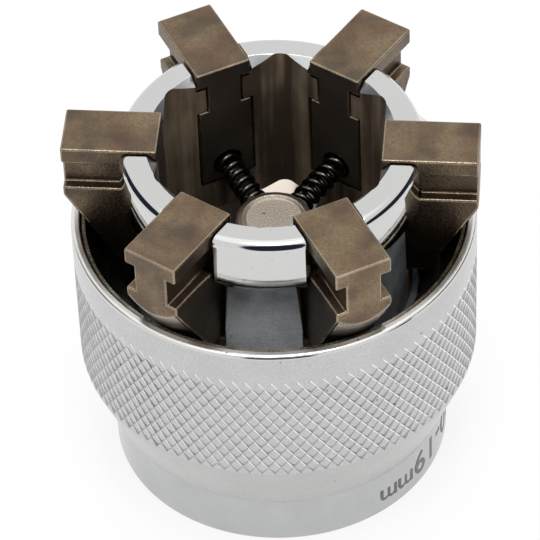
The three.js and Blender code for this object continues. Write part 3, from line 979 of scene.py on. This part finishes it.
        def on_glint(centre: Vector, normal: Vector) -> bool:
            return on_floor(centre, normal) and abs(centre.x) < centre.y * math.tan(math.radians(self.glint_angle))

        def on_mouth(centre: Vector, normal: Vector) -> bool:
            return FACING < normal.z < SQUARE and self.ring_bottom < centre.z and normal.xy.dot(centre.xy) < 0

        paint(core, 1, on_neck)
        paint(core, 2, lambda c, n: c.z <= self.base_height + NEAR)
        for test in (in_bore, in_slot, under_slot, on_slot_floor):
            paint(core, 3, test)
        paint(core, 6, on_floor)
        paint(core, 4, on_glint)
        paint(core, 5, on_mouth)

    def build(self, finishes: Finishes) -> None:
        """Turns, slots, bores and dresses the core."""
        core = turned("turned_core", self.profile(), self.faces)
        for cutter in [self.bore(), *self.slots(), *self.drive()]:
            combine(core, cutter)
        tidy_mesh(core)
        finishes.dress(core, finishes.polished, finishes.neck, finishes.foot, finishes.bore, finishes.floor,
                       finishes.mouth, finishes.dull_dark_floor)
        self.zone(core)
        self.round_edges(core)
        thread, marks = self.thread(), self.size_marks()
        finishes.dress(thread, finishes.neck)
        smooth(thread, 32)
        finishes.dress(marks, finishes.etched)
        joined([core, thread, marks])
        hand_over(core, Body.CORE.value, "core")


@dataclass(frozen=True)
class Corner:
    """A corner of each tile of the knurl: on which side it lies, its depth and how far it is moved aside and up."""

    across: int
    up: int
    depth: float
    aside: float
    rise: float


@dataclass
class KnurledSleeve:
    """The sleeve that is turned by hand: a diamond-knurled band between a plain rim and a drawn-in skirt."""

    knurl_bottom: float = 11.65
    knurl_top: float = 23.3
    knurl_depth: float = 0.4
    cells: int = 100
    rows: int = 7
    inset: float = 0.13
    pit_spread: float = 0.3
    pit_kinds: int = 5
    tile_reach: float = 0.9
    corner_reach: float = 0.3
    flank_reach: float = 0.7
    corners: tuple[Corner, ...] = (
        Corner(0, -1, 0.11, 0.0, 0.0),
        Corner(-1, 0, 0.03, -0.13, 0.0),
        Corner(1, 0, 0.03, 0.06, 0.0),
        Corner(0, 1, 0.0, -0.05, 0.10),
    )
    rim_edge: float = 0.35
    mouth_edge: float = 0.12
    bore_chamfer: float = 0.5
    counterbore: float = 17.1
    counterbore_floor: float = 19.4
    foot_radius: float = 15.45
    foot_edge: float = 0.12
    foot_drop: float = 0.24
    skirt_top: float = 6.22
    skirt_inset: float = 0.03
    box: Extent = extent("knurled_sleeve")

    def __post_init__(self) -> None:
        """Works out the radius and the height of a row of the knurl."""
        self.radius = self.box.high.x
        self.row = (self.knurl_top - self.knurl_bottom) / self.rows

    def shell(self) -> Object:
        """All of the sleeve but its knurled band, from the band's top edge round the inside to its lower edge."""
        foot, rim = self.box.low.z - self.foot_drop, self.box.high.z
        bore, counterbore = FIT.sleeve_bore, self.counterbore
        return turned("knurled_grip", [
            (self.radius, self.knurl_top),
            *arc((self.radius - self.rim_edge, rim - self.rim_edge), self.rim_edge, 0, 90, 5),
            (counterbore + self.mouth_edge, rim),
            (counterbore, rim - self.mouth_edge),
            (counterbore, self.counterbore_floor),
            (bore, self.counterbore_floor),
            (bore, foot + self.bore_chamfer),
            (bore + self.bore_chamfer, foot),
            (self.foot_radius - self.foot_edge, foot),
            (self.foot_radius, foot + self.foot_edge),
            (self.radius - self.skirt_inset, self.box.low.z + self.skirt_top),
            (self.radius, self.knurl_bottom),
        ], self.cells)

    def knurl(self) -> Object:
        """The knurled band: a lattice of diamond cells, each a tile that slopes down to its lower corner."""
        band = added("knurl", bpy.ops.mesh.primitive_circle_add, vertices=self.cells, radius=self.radius,
                     location=(0, 0, self.knurl_bottom))
        apply_place(band)

        def on_grid(vert: bmesh.types.BMVert) -> bool:
            rows = (vert.co.z - self.knurl_bottom) / self.row
            return abs(rows - round(rows)) < 0.25

        with editing(band):
            select(Element.EDGES)
            for _ in range(self.rows):
                extrude(z=self.row)
            select(Element.FACES)
            bpy.ops.mesh.poke()
            pick(band, Element.EDGES, lambda e: on_grid(e.verts[0]) and on_grid(e.verts[1]) and not e.is_boundary)
            bpy.ops.mesh.dissolve_edges(use_verts=False)
            select(Element.FACES)
            bpy.ops.mesh.inset(use_individual=True, use_even_offset=True, thickness=self.inset)
            for corner in self.corners:
                self.place_corners(band, corner)
        return band

    def place_corners(self, band: Object, corner: Corner) -> None:
        """Moves one corner of every tile to its place, some a little deeper than others."""
        for kind in range(self.pit_kinds):
            if not pick(band, Element.VERTS, lambda v: self.kind_at(v.co, corner) == kind):
                continue
            depth = corner.depth * (1 + self.pit_spread * (kind / (self.pit_kinds - 1) - 0.5))
            share = 1 - depth / self.radius
            bpy.ops.transform.rotate(value=-corner.aside / self.radius, orient_axis="Z", center_override=(0, 0, 0))
            bpy.ops.transform.translate(value=(0, 0, corner.rise))
            bpy.ops.transform.resize(value=(share, share, 1), center_override=(0, 0, 0))

    def cell(self, place: Vector) -> tuple[int, int, float, float]:
        """The cell of the knurl that a point lies in, and how far from its middle, in half cells."""
        across = math.atan2(place.y, place.x) / (math.pi / self.cells)
        up = (place.z - self.knurl_bottom) / (self.row / 2)
        near = [(math.floor(across) + i, math.floor(up) + j) for i in (0, 1) for j in (0, 1)]
        column, line = min((n for n in near if sum(n) % 2), key=lambda n: abs(across - n[0]) + abs(up - n[1]))
        return column % (2 * self.cells), line, across - column, up - line

    def kind_at(self, place: Vector, corner: Corner) -> int:
        """Which of the depths a point has if it is that corner of a tile, or -1 elsewhere."""
        column, line, across, up = self.cell(place)
        if abs(across) + abs(up) > self.tile_reach or not 0 < line < 2 * self.rows:
            return -1
        if across * corner.across + up * corner.up < self.corner_reach:
            return -1
        chance = math.sin(column * HASH_STEPS[0] + line * HASH_STEPS[1]) * HASH_STEPS[2]
        return int((chance - math.floor(chance)) * self.pit_kinds)

    def on_flank(self, place: Vector, across: int, up: int) -> bool:
        """Whether a face of the knurl lies between a tile and its cell's edge, on a given side (0 for either)."""
        if not self.knurl_bottom < place.z < self.knurl_top or place.xy.length < self.radius - self.knurl_depth:
            return False
        _, line, beside, above = self.cell(place)
        inside = abs(beside) + abs(above) < self.flank_reach or not 0 < line < 2 * self.rows
        return not inside and above * up > 0 and beside * across >= 0

    def build(self, finishes: Finishes) -> None:
        """Turns, knurls and dresses the sleeve."""
        sleeve = joined([self.shell(), self.knurl()])
        tidy_mesh(sleeve)
        finishes.dress(sleeve, finishes.satin, finishes.rim, finishes.ground, finishes.knurl_flank_shade, finishes.crest,
                       finishes.polished, finishes.skirt)
        rim = self.box.high.z
        paint(sleeve, 6, lambda c, n: c.z < self.knurl_bottom - 0.05)
        paint(sleeve, 2, lambda c, n: n.xy.dot(c.xy) < 0 or abs(c.z - self.counterbore_floor) < NEAR)
        paint(sleeve, 5, lambda c, n: c.z > rim - self.rim_edge and c.xy.length > self.counterbore + 0.2)
        # Painted highlight with wear on the rim's top.
        paint(sleeve, 1, lambda c, n: c.z > rim - self.mouth_edge and n.z > FACING)
        # Painted shade on the knurl's lower flanks.
        paint(sleeve, 3, lambda c, n: self.on_flank(c, 0, -1))
        # Painted highlight, with wear, on the knurl's upper right flanks.
        paint(sleeve, 4, lambda c, n: self.on_flank(c, 1, 1))
        smooth(sleeve, 9)
        hand_over(sleeve, Body.SLEEVE.value, "knurled_sleeve")


@dataclass
class TaperRing:
    """The ring in the sleeve's mouth whose cone bears on the jaws."""

    land: float = 0.35
    edge: float = 0.08
    faces: int = 144
    box: Extent = extent("taper_ring")

    def build(self, finishes: Finishes) -> None:
        """Turns and dresses the ring."""
        radius, bottom, top = self.box.high.x, self.box.low.z, self.box.high.z
        bore, mouth, edge = FIT.sleeve_bore, radius - self.land, self.edge
        throat = top - (mouth - bore) / math.tan(math.radians(FIT.cone_angle))
        profile = [(bore, bottom), (radius - edge, bottom), (radius, bottom + edge), (radius, top - edge),
                   (radius - edge, top), (mouth, top), (bore, throat)]
        ring = turned("cone_ring", profile, self.faces, closed=True)
        finishes.dress(ring, finishes.ground, finishes.land)
        paint(ring, 1, lambda c, n: n.z > FACING and c.z > top - 0.2)
        smooth(ring, 20)
        hand_over(ring, Body.TAPER_RING.value, "taper_ring")


@dataclass
class SlidingJaws:
    """The six loose jaws, each an I-section with a sloping nose and a pocket for its spring."""

    nose_drop: float = 6.5
    nose_round: float = 6.0
    nose_reach: float = 30.0
    pocket_depth: float = 4.2
    spring_rise: float = 1.7
    edge: float = 0.17
    box: Extent = extent("jaw_1")

    def nose_cutter(self) -> Object:
        """What is ground away outside the sloping, crosswise rounded nose."""
        reach, middle = self.nose_reach, -self.nose_round
        outside = block("nose", (middle, -reach / 3, -reach), (reach / 3, reach / 3, reach))
        ends = ((middle, 0, -reach - OVERRUN), (middle, 0, reach + OVERRUN))
        combine(outside, bar("round", self.nose_round, *ends, 128))
        place = Matrix.Translation((self.box.high.x, 0, self.box.high.z - self.nose_drop))
        outside.matrix_world = place @ Matrix.Rotation(math.radians(FIT.cone_angle), 4, "Y")
        apply_place(outside)
        return outside

    def model(self) -> Object:
        """The first jaw."""
        low, high = self.box.low, self.box.high
        jaw = block("jaw", low, high)
        groove_top = high.z - FIT.flange
        for side in (-1, 1):
            near, far = sorted((side * (high.y - FIT.groove_depth), side * (high.y + OVERRUN)))
            combine(jaw, block("groove", (low.x - OVERRUN, near, groove_top - FIT.groove_height),
                               (high.x + OVERRUN, far, groove_top)))
        combine(jaw, self.nose_cutter())
        axis = low.z + self.spring_rise
        combine(jaw, bar("pocket", FIT.pocket_radius, (low.x - 2 * OVERRUN, 0, axis),
                         (low.x + self.pocket_depth, 0, axis), 32))
        tidy_mesh(jaw)
        return jaw

    def build(self, finishes: Finishes) -> None:
        """Models one jaw, dresses it and puts a copy in each slot."""
        jaw = self.model()
        finishes.dress(jaw, finishes.brown, finishes.worn, finishes.nose, finishes.painted_shade_flank, finishes.grip)
        # Painted shade: the jaw's sides, grooves and undersides take the darker copy of the oxide.
        paint(jaw, 3, lambda c, n: abs(n.y) > FACING or n.z < -FACING)
        paint(jaw, 2, lambda c, n: n.z < -0.3 and n.x > 0.3)
        paint(jaw, 4, lambda c, n: n.x < -FACING or c.z < self.box.low.z + NEAR)
        soften(jaw, self.edge, material=1)
        for number, copy in enumerate(at_each_jaw(jaw, "sliding_jaw"), 1):
            hand_over(copy, Body.jaw(number), f"jaw_{number}")


@dataclass
class JawSprings:
    """The coil springs between the hub and the jaws."""

    wire: float = 0.55
    coils: int = 9
    jaw_travel: float = 4.7
    box: Extent = extent("jaw_spring_1")

    def model(self) -> Object:
        """The first spring, wound along the first jaw's direction."""
        low, high = self.box.low, self.box.high
        coil_radius = (high.z - low.z - self.wire) / 2
        spring = added("spring", bpy.ops.mesh.primitive_circle_add, vertices=12, radius=self.wire / 2,
                       location=(coil_radius, 0, 0), rotation=(math.pi / 2, 0, 0))
        apply_place(spring)
        wind(spring, 28, self.coils, (high.x - low.x - self.wire) / self.coils)
        place = Matrix.Translation((low.x + self.wire / 2, 0, self.box.middle))
        spring.matrix_world = place @ Matrix.Rotation(math.pi / 2, 4, "Y")
        apply_place(spring)
        return spring

    def build(self, finishes: Finishes) -> None:
        """Winds one spring, dresses it and puts a copy, with its own mesh, at each jaw."""
        spring = self.model()
        finishes.dress(spring, finishes.spring)
        smooth(spring, 60)
        for number, copy in enumerate(at_each_jaw(spring, "coil_spring"), 1):
            hand_over(copy, Body.CORE.value, f"jaw_spring_{number}")
            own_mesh(copy)


@dataclass
class SpringHub:
    """The post in the bore's middle that the springs stand in, with the screw and washer that hold it."""

    chamfer: float = 0.15
    band: float = 0.62
    dish: float = 0.28
    hole_depth: float = 0.5
    tip_gap: float = 0.15
    edge: float = 0.07
    key: float = 2.5
    key_depth: float = 1.2
    head_round: float = 0.3
    head_edge: float = 0.1
    shank: float = 2.0
    shank_point: float = 0.5
    washer_gap: float = 12.0
    box: Extent = extent("spring_hub")
    spring: Extent = extent("jaw_spring_1")
    screw: Extent = extent("hub_screw")
    washer: Extent = extent("hub_lock_washer")

    def build_post(self, finishes: Finishes) -> None:
        """Turns the post, drills its spring holes and dresses it."""
        radius, seat, top = self.box.high.x, self.box.low.z, self.box.high.z
        inside, axis = radius - self.band, self.spring.middle
        shoulder, floor = top - 2 * self.chamfer, top - self.dish
        post = turned("spring_post", [
            (FIT.screw_hole, seat), (radius, seat), (radius, shoulder), (radius - self.chamfer, top - self.chamfer),
            (inside, top), (inside - self.dish, floor), (0, floor)], 72)
        with editing(post):
            select_border()
            extrude(z=self.screw.high.z + self.tip_gap - seat)
            bpy.ops.mesh.edge_face_add()
        tidy_mesh(post)
        hole = bar("spring_hole", FIT.pocket_radius, (radius - self.hole_depth, 0, axis),
                   (radius + 2 * OVERRUN, 0, axis), 28)
        combine(post, around_jaws(hole))
        tidy_mesh(post)
        finishes.dress(post, finishes.band, finishes.black, finishes.blasted)
        paint(post, 1, lambda c, n: c.xy.length < radius - 0.02 and c.z < shoulder)
        paint(post, 2, lambda c, n: n.z > FACING and c.xy.length < inside)
        soften(post, self.edge)
        hand_over(post, Body.CORE.value, "spring_hub")

    def build_screw(self, finishes: Finishes) -> None:
        """Turns the screw, head down, with a rounded head edge and a key socket."""
        head, low, tip = self.screw.high.x, self.screw.low.z, self.screw.high.z
        shoulder, bend = self.washer.low.z, self.head_round
        screw = turned("hub_bolt", [
            (0, low), *arc((head - bend, low + bend), bend, -90, 0, 4), (head, shoulder - self.head_edge),
            (head - self.head_edge, shoulder), (self.shank, shoulder), (self.shank, tip - self.shank_point),
            (self.shank - self.shank_point, tip), (0, tip)], 64)
        combine(screw, bar("key", self.key / 2 * HEX_CORNER, (0, 0, low - OVERRUN), (0, 0, low + self.key_depth), 6))
        tidy_mesh(screw)
        finishes.dress(screw, finishes.black)
        soften(screw, self.edge)
        hand_over(screw, Body.CORE.value, "hub_screw")

    def build_washer(self, finishes: Finishes) -> None:
        """Turns the spring washer and cuts its split."""
        inner, outer, low, top = FIT.screw_hole, self.washer.high.y, self.washer.low.z, self.washer.high.z
        washer = turned("lock_washer", [(inner, low), (outer, low), (outer, top), (inner, top)], 72, closed=True)
        half = inner * math.tan(math.radians(self.washer_gap / 2))
        combine(washer, block("split", (inner - OVERRUN, -half, low - OVERRUN),
                              (outer + OVERRUN, half, top + OVERRUN)))
        tidy_mesh(washer)
        finishes.dress(washer, finishes.black)
        soften(washer, self.edge)
        hand_over(washer, Body.CORE.value, "hub_lock_washer")

    def build(self, finishes: Finishes) -> None:
        """Builds the post, its screw and its washer."""
        self.build_post(finishes)
        self.build_screw(finishes)
        self.build_washer(finishes)


@dataclass(frozen=True)
class Screen:
    """A dark screen in the surroundings: where it stands and how far it reaches, in degrees."""

    azimuth: float
    elevation: float
    half_width: float
    half_height: float


@dataclass
class Studio:
    """The pale floor, the soft surroundings and the camera, with angles in degrees."""

    azimuth: float = 6.235
    elevation: float = 45.233
    roll: float = -2.380
    distance: float = 361.58
    aim: Colour = (-0.546, 0.0, 19.004)
    lens: float = 269.8
    sensor: float = 36.0
    clip: Point = (0.01, 50.0)
    floor_size: float = 6.0
    floor_glow: float = 0.82
    floor_tone: float = 0.16
    floor_roughness: float = 0.9
    sky: float = 1.0
    overhead: float = 1.4
    overhead_edge: Point = (38.0, 24.0)
    lamp: float = 8.5
    lamp_elevation: float = 76.0
    lamp_edge: Point = (13.0, 9.0)
    dark: Colour = (0.020, 0.026, 0.040)
    screen_edge: Point = (1.12, 0.9)
    screens: tuple[Screen, ...] = (
        Screen(6.2, 26.0, 21.0, 31.0),
        Screen(-96.0, 18.0, 24.0, 22.0),
        Screen(98.0, 12.0, 38.0, 22.0),
    )

    def towards(self, azimuth: float, elevation: float) -> Vector:
        """The direction from the socket to a place seen at these angles."""
        turn, rise = math.radians(azimuth), math.radians(elevation)
        return Vector((math.sin(turn) * math.cos(rise), -math.cos(turn) * math.cos(rise), math.sin(rise)))

    def camera(self) -> None:
        """Places the camera at the photograph's angle."""
        data = bpy.data.cameras.new("camera")
        data.lens, data.sensor_width = self.lens, self.sensor
        data.clip_start, data.clip_end = self.clip
        camera = bpy.data.objects.new("camera", data)
        bpy.context.scene.collection.objects.link(camera)
        back, right = self.towards(self.azimuth, self.elevation), self.towards(self.azimuth + 90, 0)
        axes = Matrix((right, back.cross(right), back)).transposed().to_4x4()
        place = Matrix.Translation((Vector(self.aim) + back * self.distance) * METRE)
        camera.matrix_world = place @ axes @ Matrix.Rotation(math.radians(self.roll), 4, "Z")
        bpy.context.scene.camera = camera

    def floor(self) -> None:
        """Lays the pale floor."""
        floor = added("studio_floor", bpy.ops.mesh.primitive_plane_add, size=self.floor_size)
        tone = (self.floor_tone, self.floor_tone, self.floor_tone, 1.0)
        shader = Shader("pale_floor", Base_Color=tone, Roughness=self.floor_roughness,
                        Emission_Color=(1.0, 1.0, 1.0, 1.0), Emission_Strength=self.floor_glow)
        floor.data.materials.append(shader.material)

    def world(self) -> None:
        """Surrounds the socket with a bright studio, brighter overhead, with dark screens around it."""
        world = bpy.data.worlds.new("studio")
        bpy.context.scene.world = world
        world.use_nodes = True
        nodes = Nodes(world.node_tree)
        direction = nodes.add("TexCoord").outputs["Generated"]

        def along(axis: Vector) -> Socket:
            return nodes.add("VectorMath", {0: direction, 1: axis}, operation="DOT_PRODUCT").outputs["Value"]

        def soft(value: Socket, start: float, end: float) -> Socket:
            return nodes.ramp(value, start, end, kind="SMOOTHSTEP")

        def spot(axis: Vector, edge: Point) -> Socket:
            return soft(along(axis), *(math.cos(math.radians(angle)) for angle in edge))

        def covered(screen: Screen) -> Socket:
            ahead = self.towards(screen.azimuth, screen.elevation)
            right = ahead.cross(UP).normalized()
            place = nodes.add("CombineXYZ", {
                "X": along(right / math.sin(math.radians(screen.half_width))),
                "Y": along(right.cross(ahead) / math.sin(math.radians(screen.half_height))),
            }).outputs["Vector"]
            reach = nodes.add("VectorMath", {0: place}, operation="LENGTH").outputs["Value"]
            return nodes.calc("MULTIPLY", soft(reach, *self.screen_edge), soft(along(ahead), 0.0, 0.01))

        sky = nodes.mix(spot(UP, self.overhead_edge), (self.sky,) * 3, (self.overhead,) * 3)
        for screen in self.screens:
            sky = nodes.mix(covered(screen), sky, self.dark)
        lamp = self.towards(self.azimuth, self.lamp_elevation)
        sky = nodes.mix(spot(lamp, self.lamp_edge), sky, (self.lamp,) * 3)
        nodes.tree.links.new(sky, nodes.tree.nodes["Background"].inputs["Color"])

    def build(self) -> None:
        """Makes the floor, the surroundings and the camera."""
        bpy.context.scene.view_settings.view_transform = "Standard"
        self.floor()
        self.world()
        self.camera()


def main() -> None:
    """Builds every piece, then the studio."""
    logging.basicConfig(level=logging.INFO, format="%(name)s: %(message)s")
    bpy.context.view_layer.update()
    finishes = Finishes()
    for piece in (TurnedCore(), KnurledSleeve(), TaperRing(), SlidingJaws(), JawSprings(), SpringHub()):
        piece.build(finishes)
    Studio().build()


if __name__ == "__main__":
    main()
